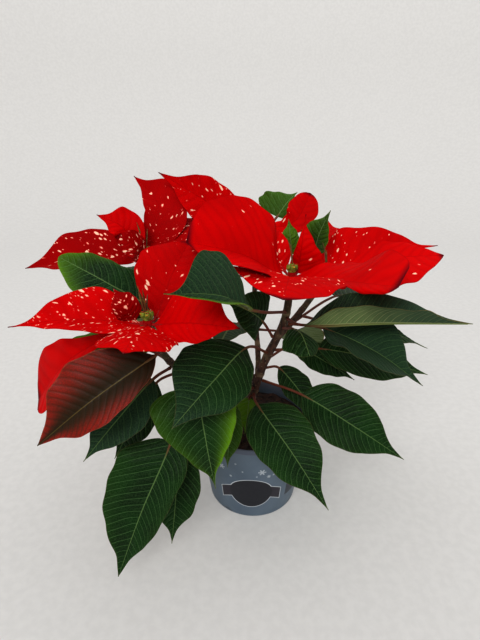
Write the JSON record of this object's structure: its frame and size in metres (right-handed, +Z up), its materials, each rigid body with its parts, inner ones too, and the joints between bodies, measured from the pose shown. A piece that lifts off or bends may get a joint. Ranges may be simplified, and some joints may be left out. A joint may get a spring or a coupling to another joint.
{
  "type": "potted poinsettia",
  "caption": "Potted poinsettia with woody branching stems, veined leaves and cream-flecked red bract heads in a tapered plastic pot.",
  "frame": {"origin": "centre of the pot's flat base, at the level of the surface it stands on", "axes": "+Z up along the pot's axis, -Y towards the front of the plant, +X to the right as seen from the front"},
  "size_m": [0.3496, 0.2708, 0.2877],
  "materials": {
    "pot": "slate blue moulded plastic, satin, with a plain dark printed plaque and small white snowflakes",
    "soil": "dark brown peat with coarse fibres and crumbs",
    "stem": "brown to maroon bark with leaf scars",
    "leaf": "dark green blade with a paler midrib and side veins, thin red edge and red stalk",
    "red_leaf": "olive blade that turns red towards its edges",
    "bract": "bright red velvety blade with fine veins and cream to pink flecks",
    "flower": "yellow-green cups with red tips"
  },
  "bodies": {
    "root": {"pot": "pot", "soil": "soil", "stem": "stem", "leaf_left_pale": "leaf", "leaf_left_red": "red_leaf", "leaf_left_low": "leaf", "leaf_left_far": "leaf", "leaf_left_hanging": "leaf", "leaf_front_long": "leaf", "leaf_front_shaded": "leaf", "leaf_centre_bright": "leaf", "leaf_centre_narrow": "leaf", "leaf_centre_young": "leaf", "leaf_pot_front": "leaf", "leaf_centre_dark": "leaf", "leaf_centre_high": "leaf", "leaf_centre_inner": "leaf", "leaf_centre_curled": "leaf", "leaf_right_low": "leaf", "leaf_right_thin": "leaf", "leaf_right_folded": "leaf", "leaf_right_middle": "leaf", "leaf_right_under": "leaf", "leaf_right_far": "leaf", "leaf_right_small": "leaf", "leaf_back_peak": "leaf", "leaf_back_upright": "leaf", "leaf_back_young": "leaf", "leaf_rear_left_high": "leaf", "leaf_rear_left_low": "leaf", "leaf_rear_mid_high": "leaf", "leaf_rear_mid_low": "leaf", "leaf_rear_right_high": "leaf", "leaf_rear_right_low": "leaf", "leaf_rear_side": "leaf", "bracts_left": "bract", "bracts_rear_left": "bract", "bracts_centre": "bract", "bracts_right": "bract", "bracts_rear": "bract", "flowers_left": "flower", "flowers_rear_left": "flower", "flowers_centre": "flower", "flowers_right": "flower", "flowers_rear": "flower"}
  },
  "joints": []
}
